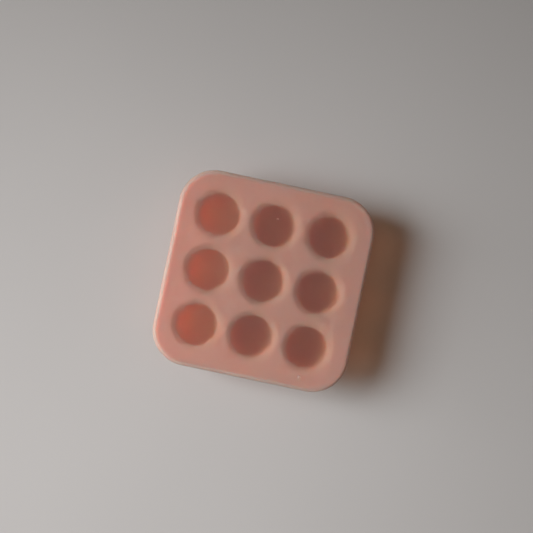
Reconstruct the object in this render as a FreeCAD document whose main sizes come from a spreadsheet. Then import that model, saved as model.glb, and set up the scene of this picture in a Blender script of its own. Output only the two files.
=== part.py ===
"""A baby food freezer tray in two silicone mouldings: a tray of round cups and its slip-on lid.

Millimetres, +Z up. The origin is on the ground, under the centre of the middle cup.
"""

import FreeCAD, Part

import math
import os

import Sketcher

# Every driving number, written once. The sheet takes these, and each feature reads the sheet.
SIZES = {
    # the cups
    "pitch": 44.0,  # centre to centre of neighbouring cups
    "mouth_across": 41.0,  # where a cup's sloping mouth meets the deck
    "throat_across": 32.4,  # where the slope has turned down into the wall
    "throat_radius": 0.6,  # rounding of that turn on the underside; inside, the wall comes on top
    "floor_radius": 4.0,  # rounding between a cup's wall and its floor, inside
    # the tray
    "tray_height": 46.0,  # ground to the top of the deck
    "tray_wall": 2.0,  # thickness of the deck and of the cups
    "tray_side": 150.0,
    "tray_corner": 25.5,
    "tray_edge": 1.2,  # rounding of the deck's outer edge
    "rim_depth": 10.0,  # how far the rim reaches down from the deck's top
    "rim_wall": 2.2,
    "rim_root": 1.5,  # rounding under the deck, where the rim starts, if the cups leave room
    "rim_lip": 0.8,  # rounding of the rim's lower edges
    # the lid
    "lid_fit": 0.3,  # clearance all round, between the tray's rim and the lid's skirt
    "lid_roof": 2.0,
    "lid_wall": 2.2,
    "lid_skirt": 12.0,  # how far the skirt reaches down from the lid's underside
    "lid_edge": 2.5,  # rounding of the lid's outer edge
    "lid_root": 0.8,  # rounding inside, where the skirt starts
    "lid_lip": 0.8,  # rounding of the skirt's lower edges
}
COUNTS = {"cups_across": 3}  # cups in a row, and rows
ANGLES = {
    "draft": 3.0,  # degrees that a cup's wall leans, so that a frozen portion slides out
    "mouth_slope": 28.0,  # degrees that a cup's mouth slopes down from the deck
}

CUPS_REACH = "(Sizes.pitch * (Sizes.cups_across - 1) / 2)"  # from the middle to the outermost axes

CUT_PAST = 1.0  # how far a cutting shape runs on past the face that it opens
SAME_HEIGHT = 1e-6
LEAST_CHANGE = 1.0  # cubic mm: every feature adds or removes more than this
ADDS, CUTS = 1, -1
EVEN_STEPS = [-1.0]  # a pattern's step of -1 is as long as the pattern's common offset

CURVE_START, CURVE_END, ARC_CENTRE = 1, 2, 3  # Sketcher's numbers for the points of a curve
SKETCH_ORIGIN = (-1, 1)
SKETCH_UPRIGHT = -2

doc = FreeCAD.newDocument("FreezerTray")


def fill_sheet():
    """The spreadsheet of driving numbers, with each one's name as its alias."""
    sheet = doc.addObject("Spreadsheet::Sheet", "Sizes")
    for row, (alias, number) in enumerate((SIZES | COUNTS | ANGLES).items(), start=1):
        sheet.set(f"A{row}", alias)
        sheet.set(f"B{row}", str(number))
        sheet.setAlias(f"B{row}", alias)
    doc.recompute()
    return sheet


sheet = fill_sheet()


def value(expression):
    """The number that an expression over the sheet gives."""
    result = sheet.evalExpression(expression)
    return float(getattr(result, "Value", result))


# --- sketches ---------------------------------------------------------------------------------


def new_sketch(body, name, plane, **offsets):
    """A sketch on an origin plane of its own body, moved along its own x, y or z by expressions."""
    sketch = body.newObject("Sketcher::SketchObject", name)
    sketch.AttachmentSupport = [(origin_feature(body, plane), "")]
    sketch.MapMode = "FlatFace"
    for axis, expression in offsets.items():
        sketch.setExpression(f"AttachmentOffset.Base.{axis}", expression)
    return sketch


def origin_feature(body, role):
    return next(item for item in body.Origin.OriginFeatures if item.Role == role)


def tie(sketch, kind, *places):
    """A constraint without a size, such as Tangent."""
    sketch.addConstraint(Sketcher.Constraint(kind, *places))


def size(sketch, expression, kind, *places):
    """A constraint whose size stays bound to an expression over the sheet."""
    number = value(expression)
    if kind == "Angle":
        number = math.radians(number)
    index = sketch.addConstraint(Sketcher.Constraint(kind, *places, number))
    sketch.setExpression(f"Constraints[{index}]", expression)


def add_line(sketch, start, end):
    return sketch.addGeometry(
        Part.LineSegment(FreeCAD.Vector(*start, 0), FreeCAD.Vector(*end, 0)), False
    )


def add_arc(sketch, centre, radius, first, last):
    """An arc that runs anticlockwise from its first angle to its last, in degrees."""
    circle = Part.Circle(FreeCAD.Vector(*centre, 0), FreeCAD.Vector(0, 0, 1), radius)
    return sketch.addGeometry(
        Part.ArcOfCircle(circle, math.radians(first), math.radians(last)), False
    )


def draw_rounded_square(sketch, side, corner):
    """A square with round corners about the sketch's origin, drawn anticlockwise from its right side."""
    half, radius = value(side) / 2, value(corner)
    straight = half - radius
    sides, corners = [], []
    for quarter in range(4):
        angle = 90 * quarter
        cosine, sine = round(math.cos(math.radians(angle))), round(math.sin(math.radians(angle)))

        def turned(x, y):
            return (x * cosine - y * sine, x * sine + y * cosine)

        sides.append(add_line(sketch, turned(half, -straight), turned(half, straight)))
        corners.append(add_arc(sketch, turned(straight, straight), radius, angle, angle + 90))
    for quarter in range(4):
        tie(sketch, "Horizontal" if quarter % 2 else "Vertical", sides[quarter])
        tie(sketch, "Tangent", sides[quarter], CURVE_END, corners[quarter], CURVE_START)
        following = sides[(quarter + 1) % 4]
        tie(sketch, "Tangent", corners[quarter], CURVE_END, following, CURVE_START)
    for other in corners[1:]:
        tie(sketch, "Equal", corners[0], other)
    size(sketch, corner, "Radius", corners[0])
    right, back, left, front = sides
    half_side = f"({side}) / 2"
    size(sketch, half_side, "DistanceX", *SKETCH_ORIGIN, right, CURVE_START)
    size(sketch, half_side, "DistanceY", *SKETCH_ORIGIN, back, CURVE_START)
    size(sketch, half_side, "DistanceX", left, CURVE_START, *SKETCH_ORIGIN)
    size(sketch, half_side, "DistanceY", front, CURVE_START, *SKETCH_ORIGIN)


def mouth_reach(skin):
    """How far from a cup's axis its slope meets the deck: on the deck's top, or skin further down.

    The deck and the slope are equally thick, so that corner moves out by half the slope's angle.
    """
    return f"Sizes.mouth_across / 2 + {skin} * tan(Sizes.mouth_slope / 2 * 1 deg)"


def draw_cup_section(sketch, skin, closed_at):
    """Half a cup's section, to the right of the cup's axis, which is the sketch's upright axis.

    The inner and outer surfaces share their centres of rounding, so the wall is even: skin is how
    far this surface lies outside the inner one. From the axis the outline runs along the floor,
    round its rounding, up the leaning wall, round the throat, up the mouth's slope to the deck, and
    back to the axis at the height closed_at.
    """
    floor_radius = f"Sizes.floor_radius + {skin}"
    throat_radius = f"Sizes.throat_radius + Sizes.tray_wall - {skin}"
    throat_out = "Sizes.throat_across / 2 + Sizes.throat_radius + Sizes.tray_wall"
    mouth_out = mouth_reach(skin)
    mouth_up = f"Sizes.tray_height - {skin}"
    floor_to_mouth = "Sizes.tray_height - Sizes.tray_wall"
    lean, slope = math.radians(ANGLES["draft"]), math.radians(ANGLES["mouth_slope"])
    mouth_end = (value(mouth_out), value(mouth_up))
    bottom = mouth_end[1] - value(floor_to_mouth)
    # The throat's rounding touches both the slope and the wall's line.
    turn, out = value(throat_radius), value(throat_out)
    drop = (turn + (mouth_end[0] - out) * math.sin(slope)) / math.cos(slope)
    centre = (out, mouth_end[1] - drop)
    slope_foot = (out - turn * math.sin(slope), centre[1] + turn * math.cos(slope))
    wall_top = (out - turn * math.cos(lean), centre[1] + turn * math.sin(lean))
    # The floor's rounding touches both the floor and the wall's line.
    round_up = bottom + value(floor_radius)
    fall = (wall_top[1] - round_up) * math.sin(lean) + value(floor_radius)
    round_out = wall_top[0] - fall / math.cos(lean)
    wall_foot = (
        round_out + value(floor_radius) * math.cos(lean),
        round_up - value(floor_radius) * math.sin(lean),
    )
    closing = value(closed_at)

    floor = add_line(sketch, (0, bottom), (round_out, bottom))
    floor_round = add_arc(
        sketch, (round_out, round_up), value(floor_radius), -90, -ANGLES["draft"]
    )
    wall = add_line(sketch, wall_foot, wall_top)
    throat_round = add_arc(sketch, centre, turn, 90 + ANGLES["mouth_slope"], 180 - ANGLES["draft"])
    mouth = add_line(sketch, slope_foot, mouth_end)
    collar = add_line(sketch, mouth_end, (mouth_end[0], closing))
    closure = add_line(sketch, (mouth_end[0], closing), (0, closing))
    axis = add_line(sketch, (0, closing), (0, bottom))

    tie(sketch, "Tangent", floor, CURVE_END, floor_round, CURVE_START)
    tie(sketch, "Tangent", floor_round, CURVE_END, wall, CURVE_START)
    tie(sketch, "Tangent", wall, CURVE_END, throat_round, CURVE_END)
    tie(sketch, "Tangent", throat_round, CURVE_START, mouth, CURVE_START)
    tie(sketch, "Coincident", mouth, CURVE_END, collar, CURVE_START)
    tie(sketch, "Coincident", collar, CURVE_END, closure, CURVE_START)
    tie(sketch, "Coincident", closure, CURVE_END, axis, CURVE_START)
    tie(sketch, "Coincident", axis, CURVE_END, floor, CURVE_START)
    tie(sketch, "Horizontal", floor)
    tie(sketch, "Horizontal", closure)
    tie(sketch, "Vertical", collar)
    tie(sketch, "Vertical", axis)
    tie(sketch, "PointOnObject", axis, CURVE_START, SKETCH_UPRIGHT)
    size(sketch, mouth_out, "DistanceX", *SKETCH_ORIGIN, mouth, CURVE_END)
    size(sketch, mouth_up, "DistanceY", *SKETCH_ORIGIN, mouth, CURVE_END)
    size(sketch, floor_to_mouth, "DistanceY", floor, CURVE_START, mouth, CURVE_END)
    size(sketch, throat_out, "DistanceX", *SKETCH_ORIGIN, throat_round, ARC_CENTRE)
    size(sketch, closed_at, "DistanceY", *SKETCH_ORIGIN, closure, CURVE_END)
    size(sketch, throat_radius, "Radius", throat_round)
    size(sketch, floor_radius, "Radius", floor_round)
    size(sketch, "90 deg - Sizes.draft * 1 deg", "Angle", wall)
    size(sketch, "Sizes.mouth_slope * 1 deg", "Angle", mouth)


# --- features ---------------------------------------------------------------------------------


def new_body(label):
    body = doc.addObject("PartDesign::Body", label.capitalize())
    body.Label = label
    return body


def build(body, kind, name, change, sizes, **settings):
    """Adds a feature, with its sizes bound to the sheet, and makes sure that it did its work.

    change is ADDS or CUTS. A feature that points away from the solid, or a pattern that isn't the
    body's tip, would leave the volume as it was.
    """
    before = 0.0 if body.Tip is None else body.Tip.Shape.Volume
    feature = body.newObject(f"PartDesign::{kind}", name)
    for setting, wanted in settings.items():
        setattr(feature, setting, wanted)
    for setting, expression in sizes.items():
        feature.setExpression(setting, expression)
    body.Tip = feature
    doc.recompute()
    if change * (feature.Shape.Volume - before) < LEAST_CHANGE:
        raise RuntimeError(f"{body.Label}: {name} changed nothing")
    return feature


def level_edges(body, height):
    """The names of the edges that lie level at a height above the body's own origin."""
    wanted = value(height)

    def lies_there(edge):
        middle = edge.valueAt((edge.FirstParameter + edge.LastParameter) / 2)
        points = [middle] + [corner.Point for corner in edge.Vertexes]
        return all(abs(point.z - wanted) < SAME_HEIGHT for point in points)

    edges = body.Tip.Shape.Edges
    return [f"Edge{number}" for number, edge in enumerate(edges, start=1) if lies_there(edge)]


def round_edges(body, name, change, height, radius):
    edges = level_edges(body, height)
    build(body, "Fillet", name, change, {"Radius": radius}, Base=(body.Tip, edges))


def add_cap(body, side, corner, top, roof, drop, wall, edge, root, lip):
    """A rounded-square roof with a wall turned down all round it.

    Every size is an expression over the sheet: top is the height of the roof's upper face, and
    drop is how far below that the wall reaches.
    """
    foot = f"{top} - ({drop})"
    outline = new_sketch(body, "Outline", "XY_Plane", z=top)
    draw_rounded_square(outline, side, corner)
    build(body, "Pad", "Block", ADDS, {"Length": drop}, Profile=outline, Reversed=True)
    round_edges(body, "OuterEdge", CUTS, top, edge)
    hollow = new_sketch(body, "HollowOutline", "XY_Plane", z=foot)
    draw_rounded_square(hollow, f"{side} - 2 * {wall}", f"{corner} - {wall}")
    build(
        body, "Pocket", "Hollow", CUTS, {"Length": f"{drop} - {roof}"}, Profile=hollow, Reversed=True
    )
    round_edges(body, "Root", ADDS, f"{top} - {roof}", root)
    round_edges(body, "Lip", CUTS, foot, lip)


def add_cups(body, name, kind, change, skin, closed_at):
    """One turned shape at the first corner cup, repeated over the grid of cups."""
    section = new_sketch(body, f"{name}Section", "XZ_Plane", x=f"-{CUPS_REACH}", z=CUPS_REACH)
    draw_cup_section(section, skin, closed_at)
    first = build(
        body, kind, name, change, {}, Profile=section, ReferenceAxis=(section, ["V_Axis"])
    )
    grid = {
        "Offset": "Sizes.pitch",
        "Offset2": "Sizes.pitch",
        "Occurrences": "Sizes.cups_across",
        "Occurrences2": "Sizes.cups_across",
    }
    build(
        body,
        "LinearPattern",
        f"{name}Grid",
        change,
        grid,
        Originals=[first],
        Mode="Spacing",
        Mode2="Spacing",
        Spacings2=EVEN_STEPS,
        Direction=(origin_feature(body, "X_Axis"), [""]),
        Direction2=(origin_feature(body, "Y_Axis"), [""]),
    )


# --- the two mouldings ------------------------------------------------------------------------


def make_tray():
    """The deck and its turned-down rim, with the cups hanging from the deck to the ground.

    The rounding under the deck takes at most half of the flat between the rim and the nearest cup,
    on the straight sides and in the corners. A tenth of it stays where a cup reaches the rim.
    """
    body = new_body("tray")
    mouth = f"({mouth_reach('Sizes.tray_wall')})"
    beside_a_cup = f"Sizes.tray_side / 2 - Sizes.rim_wall - {CUPS_REACH} - {mouth}"
    corner_to_axis = f"sqrt(2) * (Sizes.tray_side / 2 - Sizes.tray_corner - {CUPS_REACH})"
    past_corner_cup = f"Sizes.tray_corner - Sizes.rim_wall + {corner_to_axis} - {mouth}"
    room = f"min(({beside_a_cup}) / 2; ({past_corner_cup}) / 2)"
    add_cap(
        body,
        side="Sizes.tray_side",
        corner="Sizes.tray_corner",
        top="Sizes.tray_height",
        roof="Sizes.tray_wall",
        drop="Sizes.rim_depth",
        wall="Sizes.rim_wall",
        edge="Sizes.tray_edge",
        root=f"max(Sizes.rim_root / 10; min(Sizes.rim_root; {room}))",
        lip="Sizes.rim_lip",
    )
    inside_deck = "Sizes.tray_height - Sizes.tray_wall / 2"
    above_deck = f"Sizes.tray_height + {CUT_PAST}"
    add_cups(body, "Cup", "Revolution", ADDS, "Sizes.tray_wall", inside_deck)
    add_cups(body, "CupHollow", "Groove", CUTS, "0", above_deck)
    return body


def make_lid():
    """The cover, modelled with its underside at its own zero height and placed on the deck."""
    body = new_body("lid")
    add_cap(
        body,
        side="Sizes.tray_side + 2 * (Sizes.lid_fit + Sizes.lid_wall)",
        corner="Sizes.tray_corner + Sizes.lid_fit + Sizes.lid_wall",
        top="Sizes.lid_roof",
        roof="Sizes.lid_roof",
        drop="Sizes.lid_roof + Sizes.lid_skirt",
        wall="Sizes.lid_wall",
        edge="Sizes.lid_edge",
        root="Sizes.lid_root",
        lip="Sizes.lid_lip",
    )
    body.setExpression("Placement.Base.z", "Sizes.tray_height")
    return body


def check(bodies):
    """Stops if any object failed to compute, or a moulding isn't one sound closed solid."""
    doc.recompute()
    for item in doc.Objects:
        if {"Invalid", "Error"} & set(item.State):
            raise RuntimeError(f"{item.Name} is in state {item.State}")
    for body in bodies:
        shape = body.Shape
        if shape.isNull() or not shape.isValid() or len(shape.Solids) != 1:
            raise RuntimeError(f"{body.Label} isn't one valid solid")


def export(bodies):
    os.makedirs("parts", exist_ok=True)
    for body in bodies:
        body.Shape.exportStep(f"parts/{body.Label}.step")
        box = body.Shape.BoundBox
        print(
            f"{body.Label}: {box.XLength:.1f} x {box.YLength:.1f} x {box.ZLength:.1f} mm, "
            f"from z {box.ZMin:.1f}, {body.Shape.Volume / 1000:.2f} cubic cm"
        )


mouldings = [make_tray(), make_lid()]
check(mouldings)
export(mouldings)
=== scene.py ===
# %% [markdown]
# # A baby food freezer tray in soft silicone
#
# The object is two mouldings. The **tray** is a rounded-square deck with a turned-down rim, and
# nine round cups hang from the deck and stand on their own feet. The **lid** is a flat,
# milky sheet of silicone with a short skirt that slips over the rim.
#
# Both are shapes of one family: a *section* (a line drawn on paper) that is carried round a *path*.
# So this lesson works out every surface with numpy, as whole arrays, and only then makes meshes.
# The frame gives the real place and size of both mouldings, and nothing here moves them.

# %% Load the frame
import math

import bmesh
import bpy
import numpy as np
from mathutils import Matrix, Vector


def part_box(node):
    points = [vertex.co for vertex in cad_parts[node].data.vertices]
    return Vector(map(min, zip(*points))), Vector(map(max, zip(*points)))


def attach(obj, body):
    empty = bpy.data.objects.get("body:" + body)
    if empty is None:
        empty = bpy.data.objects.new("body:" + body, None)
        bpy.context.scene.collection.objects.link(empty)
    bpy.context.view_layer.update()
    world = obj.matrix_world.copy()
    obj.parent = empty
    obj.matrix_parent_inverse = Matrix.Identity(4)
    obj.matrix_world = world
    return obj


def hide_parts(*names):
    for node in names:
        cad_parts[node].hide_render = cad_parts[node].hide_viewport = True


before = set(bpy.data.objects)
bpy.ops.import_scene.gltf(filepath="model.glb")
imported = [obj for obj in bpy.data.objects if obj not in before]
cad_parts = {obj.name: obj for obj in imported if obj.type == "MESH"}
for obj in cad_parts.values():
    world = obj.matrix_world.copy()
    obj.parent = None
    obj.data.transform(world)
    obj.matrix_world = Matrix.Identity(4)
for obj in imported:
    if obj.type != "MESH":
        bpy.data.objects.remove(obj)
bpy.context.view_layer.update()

# %% [markdown]
# The frame says how wide and how tall each moulding is. What it doesn't say is how the surface
# turns from one face into the next, and those roundings are what the eye reads as soft silicone:
# a cup's mouth that slopes in and rolls over into its wall, a foot with no sharp corner, a lid's
# edge as round as a pebble. They are named here once, in metres, and everything below is worked out
# from them.

# %% Sizes
MM = 0.001

tray_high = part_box("tray")[1]
lid_low, lid_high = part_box("lid")
DECK_TOP = tray_high.z
TRAY_HALF = tray_high.x
LID_TOP = lid_high.z
LID_HALF = lid_high.x

CUPS_ACROSS = 3
PITCH = 44 * MM  # centre to centre of neighbouring cups
MOUTH = 20.5 * MM  # radius at which a cup's sloping mouth meets the deck
MOUTH_SLOPE = 28.0  # degrees that the mouth slopes down from there
MOUTH_EDGE = 0.35 * MM  # rounding of the crease between deck and mouth
THROAT = 16.2 * MM  # radius of a cup just below the mouth
THROAT_ROUND = 2.6 * MM  # rounding from the mouth's slope into the wall
FLOOR_ROUND = 4.0 * MM
DRAFT = 3.0  # degrees that a cup's wall leans
WALL = 2.0 * MM  # thickness of the deck and the cups
CORNER = 25.5 * MM  # the tray's corners, seen from above

print(f"deck at {DECK_TOP / MM:.1f} mm")
print(f"tray {2 * TRAY_HALF / MM:.0f} mm and lid {2 * LID_HALF / MM:.0f} mm across")

# %% [markdown]
# ## The outline that everything follows
#
# Seen from above, the tray is a square with round corners. The rim, the lid's skirt and the edge
# of the deck all run parallel to that outline, a little inside or outside it. So the outline is made
# once, as points that each have a *normal* (the direction straight out), and any parallel line is
# the points moved along their normals.
#
# The points are grouped into stretches, three on each side, because the deck is shared out among
# the cups: a stretch's ends lie where two cups' shares of the deck meet.

# %% The outline
STEPS = 24  # steps along one stretch


def one_side():
    """Points and normals along the front side, from one corner's middle to the next.

    The way along is a length measured from the side's middle. Up to the straight part's end the
    point is (length, -half). Past that end, the rest of the length is wrapped round the corner: the
    angle is length over radius, and the point is the corner's centre plus radius times
    (sin angle, -cos angle), which is also the normal.
    """
    straight = TRAY_HALF - CORNER
    end = straight + CORNER * math.pi / 4
    share = PITCH / 2
    stops = [-end, -share, share, end]
    along = np.array([np.linspace(a, b, STEPS + 1) for a, b in zip(stops, stops[1:])])
    angle = np.sign(along) * np.clip(np.abs(along) - straight, 0, None) / CORNER
    normal = np.stack([np.sin(angle), -np.cos(angle)], axis=-1)
    centre = np.stack([np.clip(along, -straight, straight), np.full_like(along, -straight)], axis=-1)
    return centre + CORNER * normal, normal


def quarter_turns(points):
    """The same points turned by 0, 90, 180 and 270 degrees about the middle of the tray."""
    turns = [np.array([[c, -s], [s, c]]) for c, s in ((1, 0), (0, 1), (-1, 0), (0, -1))]
    return np.array([points @ turn.T for turn in turns])


OUTLINE, NORMALS = (quarter_turns(part) for part in one_side())  # side, stretch, step, x and y


def parallel(inset):
    """The outline moved in by a distance, or out where the distance is negative."""
    return OUTLINE - inset * NORMALS


print("outline:", OUTLINE.shape, "reaches", OUTLINE[..., 0].max() / MM, "mm")

# %% [markdown]
# ## Sections
#
# A section is a list of (distance, height) points: arcs joined by straight runs. The arcs get
# steps, because they are what turns, and a straight run gets a point close to each end of
# it. Those close points keep the smooth shading of a rounding from leaking onto the flat beside it.

# %% Section helpers
ARC_STEPS = 10
HOLD = 0.35 * MM  # how far from a rounding the flat beside it gets its first point


def arc(centre, radius, first, last, steps=ARC_STEPS):
    """Points at centre + radius * (cos angle, sin angle), the angle going evenly in degrees."""
    angle = np.radians(np.linspace(first, last, steps + 1))
    return np.asarray(centre) + radius * np.column_stack([np.cos(angle), np.sin(angle)])


def run(start, end, steps=1):
    """The points between two others: one close to each end, and the rest evenly between those."""
    start, end = np.asarray(start), np.asarray(end)
    hold = min(HOLD / np.linalg.norm(end - start), 0.25)
    share = np.linspace(hold, 1 - hold, steps + 1)[:, None]
    return start + share * (end - start)


def cup_section(skin):
    """Half a cup's section: from its axis along the floor, up the wall and out up the mouth's slope.

    skin is how far the surface lies outside the cup's inner face: 0 for the inside, WALL for the
    outside. The roundings share their centres, so the wall is even all the way. Each rounding is
    placed where it touches the straight runs on both its sides. The crease between mouth and deck
    is rounded on the inside only, where it shows.
    """
    lean, slope = math.radians(DRAFT), math.radians(MOUTH_SLOPE)
    floor, deck, floor_round = WALL - skin, DECK_TOP - skin, FLOOR_ROUND + skin
    mouth = np.array([MOUTH + skin * math.tan(slope / 2), deck])
    out = THROAT + THROAT_ROUND
    drop = (THROAT_ROUND + (MOUTH - out) * math.sin(slope)) / math.cos(slope)
    throat = arc((out, DECK_TOP - drop), THROAT_ROUND - skin, 180 - DRAFT, 90 + MOUTH_SLOPE)
    fall = (throat[0, 1] - floor - floor_round) * math.sin(lean) + floor_round
    foot = arc((throat[0, 0] - fall / math.cos(lean), floor + floor_round), floor_round, -90, -DRAFT)
    ease = MOUTH_EDGE * math.tan(slope / 2)
    rounded = arc((mouth[0] + ease, deck - MOUTH_EDGE), MOUTH_EDGE, 90 + MOUTH_SLOPE, 90, 4)
    crease = rounded if skin == 0 else mouth[None]
    middle = np.array([[0, floor]])
    return np.vstack(
        [middle, run(middle[0], foot[0], 3), foot, run(foot[-1], throat[0], 5), throat]
        + [run(throat[-1], crease[0], 4), crease]
    )


print("inside of a cup:", cup_section(0).shape, "outside:", cup_section(WALL).shape)

# %% [markdown]
# The tray and the lid both end in a wall turned down all round: the rim and the skirt. That is one
# more section, measured inwards from the outline: over the rounded edge, down the outside, round
# the lip, up the inside, and through a small rounding into the underside of the roof.

# %% The section of a turned-down wall


def cap_section(outside, top, drop, roof, wall, edge, lip, root):
    """(inset, height) points from the end of the roof's upper face to the end of its lower face."""
    foot, inside = top - drop, outside + wall
    parts = [
        arc((outside + edge, top - edge), edge, 90, 180),
        arc((outside + lip, foot + lip), lip, 180, 270, 6),
        arc((inside - lip, foot + lip), lip, 270, 360, 6),
        arc((inside + root, top - roof - root), root, 180, 90, 6),
    ]
    straights = [run(a[-1], b[0], 2) for a, b in zip(parts, parts[1:])]
    ordered = [parts[0]] + [piece for pair in zip(straights, parts[1:]) for piece in pair]
    return np.vstack(ordered)


RIM = cap_section(
    outside=0.0, top=DECK_TOP, drop=10 * MM, roof=WALL, wall=2.2 * MM,
    edge=1.2 * MM, lip=0.8 * MM, root=1.5 * MM,
)
SETTLE = 0.15 * MM  # the lid's roof clears the deck by this, so that the two faces stay apart
SKIRT = cap_section(
    outside=TRAY_HALF - LID_HALF, top=LID_TOP, drop=LID_TOP - lid_low.z, roof=2.0 * MM - SETTLE,
    wall=2.2 * MM, edge=2.5 * MM, lip=0.8 * MM, root=0.8 * MM,
)
print("rim reaches down to", RIM[:, 1].min() / MM, "mm, skirt to", SKIRT[:, 1].min() / MM, "mm")

# %% [markdown]
# ## From arrays to a mesh
#
# A *patch* is an array of rows and columns of points, like a net. Turning it into faces is only
# counting: the four corners of a face are a point, the next in its row, and the same two in the row
# after. Patches that meet share their edge points exactly, so merging doubles closes the skin.
# Blender then turns every face outwards, which it can do because the skin is closed.

# %% Mesh helper
WELD = 0.002 * MM


def mesh_from(name, patches):
    """One closed mesh from patches of points, each an array of (rows, columns, 3)."""
    faces, count = [], 0
    for patch in patches:
        rows, columns = patch.shape[:2]
        index = count + np.arange(rows * columns).reshape(rows, columns)
        square = np.stack([index[:-1, :-1], index[:-1, 1:], index[1:, 1:], index[1:, :-1]], axis=-1)
        faces.append(square.reshape(-1, 4))
        count += rows * columns
    points = np.vstack([patch.reshape(-1, 3) for patch in patches])
    mesh = bpy.data.meshes.new(name)
    mesh.from_pydata(points, [], np.vstack(faces))
    work = bmesh.new()
    work.from_mesh(mesh)
    bmesh.ops.remove_doubles(work, verts=work.verts, dist=WELD)
    bmesh.ops.recalc_face_normals(work, faces=work.faces)
    loose = sum(not edge.is_manifold for edge in work.edges)
    work.to_mesh(mesh)
    work.free()
    mesh.shade_smooth()
    piece = bpy.data.objects.new(name, mesh)
    bpy.context.scene.collection.objects.link(piece)
    print(f"{name}: {len(mesh.vertices)} points, {len(mesh.polygons)} faces, {loose} open edges")
    return piece


def swept(section):
    """A patch per side of the outline: each section point becomes a line parallel to the outline."""
    lines = np.array([parallel(inset) for inset, _ in section])  # point, side, stretch, step, xy
    heights = np.broadcast_to(section[:, 1][:, None, None, None, None], lines.shape[:-1] + (1,))
    net = np.concatenate([lines, heights], axis=-1)
    return [net[:, side, stretch] for side in range(4) for stretch in range(CUPS_ACROSS)]


# %% [markdown]
# ## The tray
#
# Each cup has its own share of the deck. For the middle cup the share is a square; for an outer
# cup it reaches to where the deck starts to turn down into the rim, round corner included. Rays run
# from the cup's axis to points on the border of its share. Along each ray lie the points of the
# cup's section, then a few on the flat deck. Neighbours use the same border points, so the
# nine nets meet without a gap.

# %% A cup and its share of the deck
DECK_STEPS = [0.03, 0.2, 0.4, 0.6, 0.8, 1.0]  # shares of the way from a mouth's edge to the border


def share_corners(inset):
    """The 4 by 4 points where shares meet: inner ones on the grid, outer ones on the outline."""
    line = parallel(inset)
    half = PITCH / 2
    corners = np.empty((CUPS_ACROSS + 1, CUPS_ACROSS + 1, 2))  # column, row
    corners[1:-1, 1:-1] = np.array([[(x, y) for y in (-half, half)] for x in (-half, half)])
    corners[:-1, 0], corners[-1, :-1] = line[0, :, 0], line[1, :, 0]
    corners[:0:-1, -1], corners[0, :0:-1] = line[2, :, 0], line[3, :, 0]
    return corners


def share_border(column, row, inset):
    """The border of one cup's share, anticlockwise: four lines, straight or along the outline."""
    line, corners = parallel(inset), share_corners(inset)
    last = CUPS_ACROSS - 1
    loop = [(column, row), (column + 1, row), (column + 1, row + 1), (column, row + 1), (column, row)]
    on_outline = [
        line[0, column] if row == 0 else None,
        line[1, row] if column == last else None,
        line[2, last - column] if row == last else None,
        line[3, last - row] if column == 0 else None,
    ]
    sides = [
        np.linspace(corners[start], corners[end], STEPS + 1) if edge is None else edge
        for start, end, edge in zip(loop, loop[1:], on_outline)
    ]
    return np.vstack([sides[0]] + [side[1:] for side in sides[1:]])


def cup_net(column, row, skin, inset):
    """Rays from the cup's axis: the cup's section first, then out over the deck in steps."""
    middle = (np.array([column, row]) - (CUPS_ACROSS - 1) / 2) * PITCH
    border = share_border(column, row, inset)
    reach = np.linalg.norm(border - middle, axis=1)
    ray = (border - middle) / reach[:, None]
    section = cup_section(skin)
    share = np.array(DECK_STEPS)[:, None]
    rim = section[-1, 0]
    distance = np.vstack([np.tile(section[:, :1], len(border)), rim + share * (reach - rim)])
    height = np.concatenate([section[:, 1], np.full(len(share), DECK_TOP - skin)])
    flat = middle + distance[..., None] * ray
    return np.dstack([flat, np.broadcast_to(height[:, None], distance.shape)])


cups = [(column, row) for column in range(CUPS_ACROSS) for row in range(CUPS_ACROSS)]
inside = [cup_net(*cup, skin=0, inset=RIM[0, 0]) for cup in cups]
outside = [cup_net(*cup, skin=WALL, inset=RIM[-1, 0]) for cup in cups]
tray = mesh_from("silicone_tray", inside + outside + swept(RIM))

# %% [markdown]
# One moulding can have more than one finish. The cores that shape the cups are polished, and what
# they leave is smoother than the deck. The same places also get painted light: painted shade on the
# mouths' slopes and a painted red glow in the cups. To tell the material where each finish and each
# painted tone lies, every point of the mesh keeps a number from 0 to 1, an *attribute*. It is a field
# over space, worked out for all points at once, so it needs no painted texture and no seams.

# %% Where the tray's finishes, painted shade and painted glow lie


def label_points(piece, name, field):
    """Keeps a number with each point of a piece: what field gives for the array of all points."""
    mesh = piece.data
    points = np.empty(3 * len(mesh.vertices), dtype=np.float32)
    mesh.vertices.foreach_get("co", points)
    amount = np.clip(field(points.reshape(-1, 3)), 0, 1).astype(np.float32)
    mesh.attributes.new(name, "FLOAT", "POINT").data.foreach_set("value", amount)
    print(f"{piece.name}: {name} is 1 for {np.mean(amount == 1):.0%} of the points")


def inside_mouths(points):
    """1 within a cup's mouth and 0 on the deck, from the distance to the nearest cup's axis."""
    outermost = (CUPS_ACROSS - 1) / 2
    axis = PITCH * np.clip(np.round(points[:, :2] / PITCH), -outermost, outermost)
    return (MOUTH - np.linalg.norm(points[:, :2] - axis, axis=1)) / MOUTH_EDGE + 0.5


def below_throats(points):
    """0 down to where a mouth's slope ends, and 1 from a rounding's height further down."""
    slope_ends = DECK_TOP - (MOUTH - THROAT) * math.tan(math.radians(MOUTH_SLOPE))
    return (slope_ends - points[:, 2]) / THROAT_ROUND


label_points(tray, "mouth", inside_mouths)
label_points(tray, "depth", below_throats)

# %% [markdown]
# ## The lid
#
# The lid's roof is the outline shrunk towards the middle in even steps. A sheet of soft silicone is
# never quite flat, so both faces of the roof ride on the same very low waves, at most a fifth of
# a millimetre high, which die out towards the edge. Where the mould was filled and vented, two
# small pips of silicone are left on the roof: one near an edge, and a smaller one over a cup.

# %% The roof
WAVE = 0.10 * MM


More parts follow.
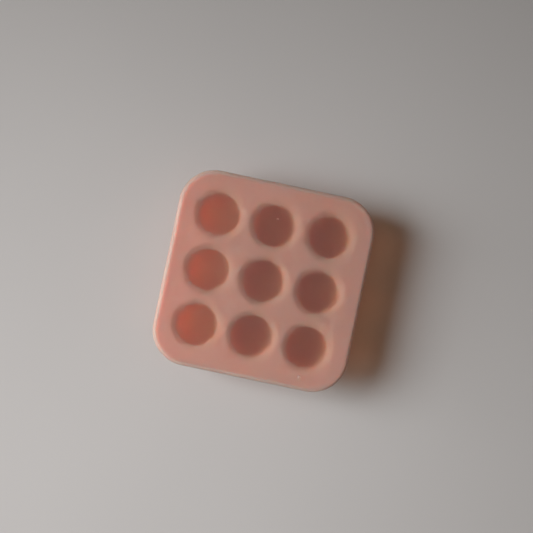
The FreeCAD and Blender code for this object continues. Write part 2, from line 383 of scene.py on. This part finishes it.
def waves(flat):
    """Three slow sine waves in different directions, lifted until the lowest troughs are near 0."""
    x, y = flat[..., 0] / TRAY_HALF, flat[..., 1] / TRAY_HALF
    swell = np.sin(2.3 * x + 1.1 * y + 0.6) + np.sin(-1.7 * x + 3.1 * y + 2.0)
    return WAVE * (1.5 + swell + 0.5 * np.sin(4.1 * x - 3.7 * y)) / 2


def roof_net(start, rings=26):
    """The line where the roof begins, shrunk to the middle in rings, with the waves added.

    The waves are multiplied by 1 - shrink ** 4, which is 0 on the line itself, so that the roof meets
    the edge's rounding exactly.
    """
    inset, height = start
    shrink = np.concatenate([[1.0, 0.995], np.linspace(0.98, 0, rings)])[:, None, None, None]
    flat = shrink[..., None] * parallel(inset)
    net = np.concatenate([flat, (height + (1 - shrink**4) * waves(flat))[..., None]], axis=-1)
    return [net[:, side, stretch] for side in range(4) for stretch in range(CUPS_ACROSS)]


PIPS = MM * np.array([(42.6, -67.4, 1.4, 0.8), (1.0, 49.5, 0.6, 0.3)])  # x, y, radius and height


def pip_net(x, y, widest, height):
    """A small dome on the roof, closed underneath: radius sin(angle), height cos(angle)."""
    angle = np.linspace(0, math.pi, 13)[:, None]
    turn = np.linspace(0, 2 * math.pi, 25)
    radius = widest * np.sin(angle)
    lift = LID_TOP + height * np.cos(angle) + 0 * turn
    return np.dstack([x + radius * np.cos(turn), y + radius * np.sin(turn), lift])


roof = roof_net(SKIRT[0]) + roof_net(SKIRT[-1])
lid = mesh_from("silicone_lid", roof + swept(SKIRT) + [pip_net(*pip) for pip in PIPS])

# %% [markdown]
# Seen from above, the roof is a thin sheet and the skirt is a wall seen edge-on. Light meets far
# more silicone in the skirt, so the skirt looks milky where the roof looks clear. Another field
# says where the milk is, and gives the pips, which are also thick, the same.

# %% Where the lid is milky
MILK_STARTS, MILK_ENDS = -1.2 * MM, 1.4 * MM  # insets with all the milk, and with none
ABOVE_WAVES = 0.15 * MM  # higher than this over the lid's edge, a point near a pip is the pip's


def milk_at(points):
    """1 on the skirt and 0 on the roof, from how far a point lies inside the tray's outline.

    For a square with round corners, take (x, y) without signs and subtract the corner's centre.
    Where both are positive the inset is the radius less their length, and elsewhere it's the radius
    less the larger one.
    """
    past = abs(points[:, :2]) - (TRAY_HALF - CORNER)
    beyond = np.linalg.norm(np.clip(past, 0, None), axis=1) + np.clip(past.max(axis=1), None, 0)
    skirt = (MILK_ENDS - (CORNER - beyond)) / (MILK_ENDS - MILK_STARTS)
    from_pips = np.linalg.norm(points[:, None, :2] - PIPS[:, :2], axis=2)
    near_pip = (from_pips < PIPS[:, 2]).any(axis=1)
    return np.where(near_pip & (points[:, 2] > LID_TOP + ABOVE_WAVES), 1, skirt)


label_points(lid, "milk", milk_at)

# %% [markdown]
# ## What silicone does to light
#
# Silicone is neither glass nor paint. Light goes in, wanders about between the pigment grains and
# comes out somewhere else, a few millimetres on: that is *subsurface scattering*. Red wanders
# furthest, so thin walls with light behind them glow orange-red. The surface itself is satin.
#
# The tray is a dense mix. Its colour is not quite even, as pigment never is. Most of a material is
# the same few steps over again, so the steps become helpers first.

# %% Material helpers


def new_material(name):
    """A node material with only its output, ready to be filled."""
    material = bpy.data.materials.new(name)
    material.use_nodes = True
    nodes, links = material.node_tree.nodes, material.node_tree.links
    nodes.clear()
    return material, nodes, links, nodes.new("ShaderNodeOutputMaterial")


def noise(nodes, links, scale, detail=3.0, roughness=0.55):
    """Noise on the object's own coordinates, so that it stays with the piece as it moves."""
    place = nodes.new("ShaderNodeTexCoord")
    texture = nodes.new("ShaderNodeTexNoise")
    texture.inputs["Scale"].default_value = scale
    texture.inputs["Detail"].default_value = detail
    texture.inputs["Roughness"].default_value = roughness
    links.new(place.outputs["Object"], texture.inputs["Vector"])
    return texture.outputs["Fac"]


def between(nodes, links, amount, low, high):
    """A colour ramp that turns a noise's middle range into two colours."""
    ramp = nodes.new("ShaderNodeValToRGB")
    ramp.color_ramp.elements[0].position, ramp.color_ramp.elements[1].position = 0.3, 0.7
    ramp.color_ramp.elements[0].color, ramp.color_ramp.elements[1].color = (*low, 1), (*high, 1)
    links.new(amount, ramp.inputs["Fac"])
    return ramp.outputs["Color"]


def grain(nodes, links, height, strength, distance):
    """The fine texture that the mould leaves, as bump."""
    bump = nodes.new("ShaderNodeBump")
    bump.inputs["Strength"].default_value = strength
    bump.inputs["Distance"].default_value = distance
    links.new(height, bump.inputs["Height"])
    return bump.outputs["Normal"]


def label(nodes, name):
    """The number that the pieces keep with each point, as a node's output."""
    attribute = nodes.new("ShaderNodeAttribute")
    attribute.attribute_name = name
    return attribute.outputs["Fac"]


def blend(nodes, links, amount, first, second):
    """A mix of two colours, plain or from a node: the first at 0, the second at 1."""
    mix = nodes.new("ShaderNodeMix")
    mix.data_type = "RGBA"
    links.new(amount, mix.inputs["Factor"])
    for name, colour in (("A", first), ("B", second)):
        socket = next(item for item in mix.inputs if item.name == name and item.type == "RGBA")
        if isinstance(colour, tuple):
            socket.default_value = (*colour, 1)
        else:
            links.new(colour, socket)
    return next(item for item in mix.outputs if item.type == "RGBA")


def remap(nodes, links, amount, at_zero, at_one):
    """A number that goes evenly from one value to another as the amount goes from 0 to 1."""
    ramp = nodes.new("ShaderNodeMapRange")
    ramp.inputs["To Min"].default_value = at_zero
    ramp.inputs["To Max"].default_value = at_one
    links.new(amount, ramp.inputs["Value"])
    return ramp.outputs["Result"]


# %% [markdown]
# A lamp's light has to reach the cups through the lid, and the floor through both. A path tracer
# looks for lamps with straight *shadow rays*, which any solid surface would stop. So for those rays
# alone, each face that they cross counts as a tinted clear film. This is what lets the cups
# nearest the window glow, and makes the shadow brown and soft instead of black.

# %% Films for shadow rays


def let_light_through(nodes, links, shader, tint, output):
    """For shadow rays alone, each face of the piece is a clear film of a plain or a mixed tint."""
    film = nodes.new("ShaderNodeBsdfTransparent")
    if isinstance(tint, tuple):
        film.inputs["Color"].default_value = (*tint, 1)
    else:
        links.new(tint, film.inputs["Color"])
    path = nodes.new("ShaderNodeLightPath")
    choice = nodes.new("ShaderNodeMixShader")
    links.new(path.outputs["Is Shadow Ray"], choice.inputs["Fac"])
    links.new(shader.outputs["BSDF"], choice.inputs[1])
    links.new(film.outputs["BSDF"], choice.inputs[2])
    links.new(choice.outputs["Shader"], output.inputs["Surface"])


# %% [markdown]
# The tray has three colours. The deck is matt. The cups are a little smoother, and their colour is
# redder: a painted glow for the light that bounces about inside them. The mouths' slopes carry
# painted shade, a colour a shade deeper than both. Polished faces also let more light through, so the
# film differs too.

# %% The tray's silicone
DRIFT = {"red": 18.0, "green": 6.0, "blue": 4.2}  # millimetres that light wanders


def tray_silicone():
    """Dense blush silicone: scattering all through, a satin surface, faintly mottled pigment. The
    mouths' slopes carry painted shade, and the cups a painted red glow.
    """
    material, nodes, links, output = new_material("blush_silicone")
    shader = nodes.new("ShaderNodeBsdfPrincipled")
    mottle = noise(nodes, links, scale=38.0)
    matt = between(nodes, links, mottle, (0.555, 0.288, 0.25), (0.595, 0.318, 0.27))
    # Painted shade: the mouths' slopes are coloured a shade darker than the deck.
    slope_painted_shade = between(nodes, links, mottle, (0.43, 0.268, 0.215), (0.46, 0.288, 0.23))
    # Painted glow: the cups are coloured redder, for the light that bounces about inside them.
    cup_painted_glow = between(nodes, links, mottle, (0.665, 0.315, 0.205), (0.695, 0.34, 0.22))
    mouth = label(nodes, "mouth")
    in_cups = blend(nodes, links, label(nodes, "depth"), slope_painted_shade, cup_painted_glow)
    links.new(blend(nodes, links, mouth, matt, in_cups), shader.inputs["Base Color"])
    links.new(remap(nodes, links, mouth, 0.52, 0.45), shader.inputs["Roughness"])
    shader.inputs["Specular IOR Level"].default_value = 0.2
    shader.inputs["IOR"].default_value = 1.41
    shader.inputs["Subsurface Weight"].default_value = 1.0
    shader.inputs["Subsurface Radius"].default_value = tuple(DRIFT.values())
    shader.inputs["Subsurface Scale"].default_value = MM
    skin = noise(nodes, links, scale=1400.0, detail=2.0)
    links.new(grain(nodes, links, skin, 0.25, 0.02 * MM), shader.inputs["Normal"])
    film = blend(nodes, links, mouth, (0.48, 0.37, 0.26), (0.83, 0.575, 0.41))
    let_light_through(nodes, links, shader, film, output)
    return material


tray.data.materials.append(tray_silicone())

# %% [markdown]
# The lid is the same silicone with far less pigment, as a 2 mm sheet. It is milky: what touches it
# shows through almost sharp, and what lies deeper is a blur. A rough, transmitting surface does
# exactly that, because the blur grows with the distance behind it. In the skirt and the pips, almost
# half of the light is scattered instead, which gives them their own colour.

# %% The lid's silicone


def lid_silicone():
    """Pale blush silicone: a rough clear sheet on the roof, scattering where it is milky."""
    material, nodes, links, output = new_material("milky_silicone")
    shader = nodes.new("ShaderNodeBsdfPrincipled")
    mottle = noise(nodes, links, scale=30.0)
    clear = between(nodes, links, mottle, (0.765, 0.68, 0.655), (0.795, 0.71, 0.685))
    milky = between(nodes, links, mottle, (0.72, 0.55, 0.48), (0.74, 0.57, 0.50))
    milk = label(nodes, "milk")
    links.new(blend(nodes, links, milk, clear, milky), shader.inputs["Base Color"])
    links.new(remap(nodes, links, milk, 0.36, 0.45), shader.inputs["Roughness"])
    shader.inputs["IOR"].default_value = 1.41
    links.new(remap(nodes, links, milk, 0.98, 0.55), shader.inputs["Transmission Weight"])
    shader.inputs["Subsurface Weight"].default_value = 1.0
    shader.inputs["Subsurface Radius"].default_value = (4.5, 2.6, 2.0)
    shader.inputs["Subsurface Scale"].default_value = MM
    skin = noise(nodes, links, scale=1500.0, detail=2.0)
    links.new(grain(nodes, links, skin, 0.2, 0.02 * MM), shader.inputs["Normal"])
    let_light_through(nodes, links, shader, (0.74, 0.72, 0.70), output)
    return material


lid.data.materials.append(lid_silicone())

# %% [markdown]
# ## Floor, light and camera
#
# The tray stands on a plain pale floor. A big soft window on one side lights it across, and a wide
# low one beside it draws the shadow out, so that walls turned away fall into shade and the walls
# of the nearest cups glow. The rest of the room gives a little warm light from everywhere.

# %% Floor
VIEW_TURN = math.radians(11.9)  # how far the picture's own axes are turned against the tray's
RIGHT = np.array([math.cos(VIEW_TURN), math.sin(VIEW_TURN), 0])
UP = np.array([-math.sin(VIEW_TURN), math.cos(VIEW_TURN), 0])
FLOOR_HALF = 3.0  # metres, far enough to fill every view


def make_floor():
    """A flat square, plastered and painted: almost even, with a very fine tooth."""
    bpy.ops.mesh.primitive_plane_add(size=2 * FLOOR_HALF, location=(0, 0, 0))
    floor = bpy.context.object
    floor.name = "floor"
    material, nodes, links, output = new_material("pale_floor")
    shader = nodes.new("ShaderNodeBsdfPrincipled")
    cloud = noise(nodes, links, scale=2.2)
    colour = between(nodes, links, cloud, (0.535, 0.53, 0.53), (0.565, 0.56, 0.56))
    links.new(colour, shader.inputs["Base Color"])
    shader.inputs["Roughness"].default_value = 0.75
    links.new(shader.outputs["BSDF"], output.inputs["Surface"])
    floor.data.materials.append(material)


make_floor()

# %% Light
DAYLIGHT = (1.0, 0.972, 0.955)
NEAR_SIDE = -0.26 * UP + 0.02 * RIGHT  # the lamps face this place, so the far side gets less
AWAY = 1.5  # metres from the tray to a lamp


def bearing(turn, rise, distance):
    """A place seen from the tray: turned from +x and raised from the floor, both in degrees."""
    turn, rise = math.radians(turn), math.radians(rise)
    flat = math.cos(rise)
    return distance * np.array([flat * math.cos(turn), flat * math.sin(turn), math.sin(rise)])


def soft_lamp(name, place, target, width, height, power, spread):
    """A rectangular area lamp that faces a target; spread, in degrees, says how wide its beam is."""
    data = bpy.data.lights.new(name, "AREA")
    data.shape, data.size, data.size_y = "RECTANGLE", width, height
    data.energy, data.color, data.spread = power, DAYLIGHT, math.radians(spread)
    lamp = bpy.data.objects.new(name, data)
    bpy.context.scene.collection.objects.link(lamp)
    lamp.location = place
    lamp.rotation_euler = Vector(target - place).to_track_quat("-Z", "Y").to_euler()


window = bearing(turn=188.5, rise=45, distance=AWAY)
soft_lamp("window", window, NEAR_SIDE, width=0.95, height=0.8, power=3.5, spread=60)
low_window = bearing(turn=194, rise=22, distance=AWAY)
soft_lamp("low_window", low_window, NEAR_SIDE, width=1.2, height=0.55, power=1.05, spread=60)
print("window at", np.round(window, 2), "low window at", np.round(low_window, 2))


def room_light(level, colour, backdrop):
    """Even light from all round, and a pale backdrop where the background is seen or mirrored."""
    world = bpy.data.worlds.new("room")
    bpy.context.scene.world = world
    world.use_nodes = True
    nodes, links = world.node_tree.nodes, world.node_tree.links
    nodes.clear()
    fill, seen = nodes.new("ShaderNodeBackground"), nodes.new("ShaderNodeBackground")
    fill.inputs["Color"].default_value, fill.inputs["Strength"].default_value = (*colour, 1), level
    seen.inputs["Color"].default_value = (*backdrop, 1)
    path, choice = nodes.new("ShaderNodeLightPath"), nodes.new("ShaderNodeMixShader")
    output = nodes.new("ShaderNodeOutputWorld")
    rays = path.outputs["Is Camera Ray"]
    for other in ("Is Glossy Ray", "Is Transmission Ray"):
        either = nodes.new("ShaderNodeMath")
        either.operation = "MAXIMUM"
        links.new(rays, either.inputs[0])
        links.new(path.outputs[other], either.inputs[1])
        rays = either.outputs["Value"]
    links.new(rays, choice.inputs["Fac"])
    links.new(fill.outputs["Background"], choice.inputs[1])
    links.new(seen.outputs["Background"], choice.inputs[2])
    links.new(choice.outputs["Shader"], output.inputs["Surface"])


room_light(level=0.05, colour=(1.0, 0.78, 0.58), backdrop=(0.36, 0.352, 0.345))

# %% Camera
DISTANCE = 0.9  # from the lens to the lid
LENS = 78.0
OFF_CENTRE = 0.002385 * RIGHT + 0.01137 * UP  # where the picture's middle lies on the tray


def make_camera():
    """Straight down, turned so that the tray lies askew in the picture."""
    data = bpy.data.cameras.new("camera")
    data.lens, data.sensor_width = LENS, 36.0
    camera = bpy.data.objects.new("camera", data)
    bpy.context.scene.collection.objects.link(camera)
    camera.location = OFF_CENTRE + np.array([0, 0, LID_TOP + DISTANCE])
    camera.rotation_euler = (0, 0, VIEW_TURN)
    bpy.context.scene.camera = camera


make_camera()
bpy.context.scene.view_settings.view_transform = "Standard"
print("camera", round(LID_TOP + DISTANCE, 3), "m up")

# %% [markdown]
# ## Tying the pieces to the frame
#
# Each mesh stands for one moulding of the frame and moves with its body. The last step hides the
# frame's own meshes in their place.

# %% Finish
for piece, node, slot in ((tray, "tray", "tray_silicone"), (lid, "lid", "lid_silicone")):
    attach(piece, node)
    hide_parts(node)
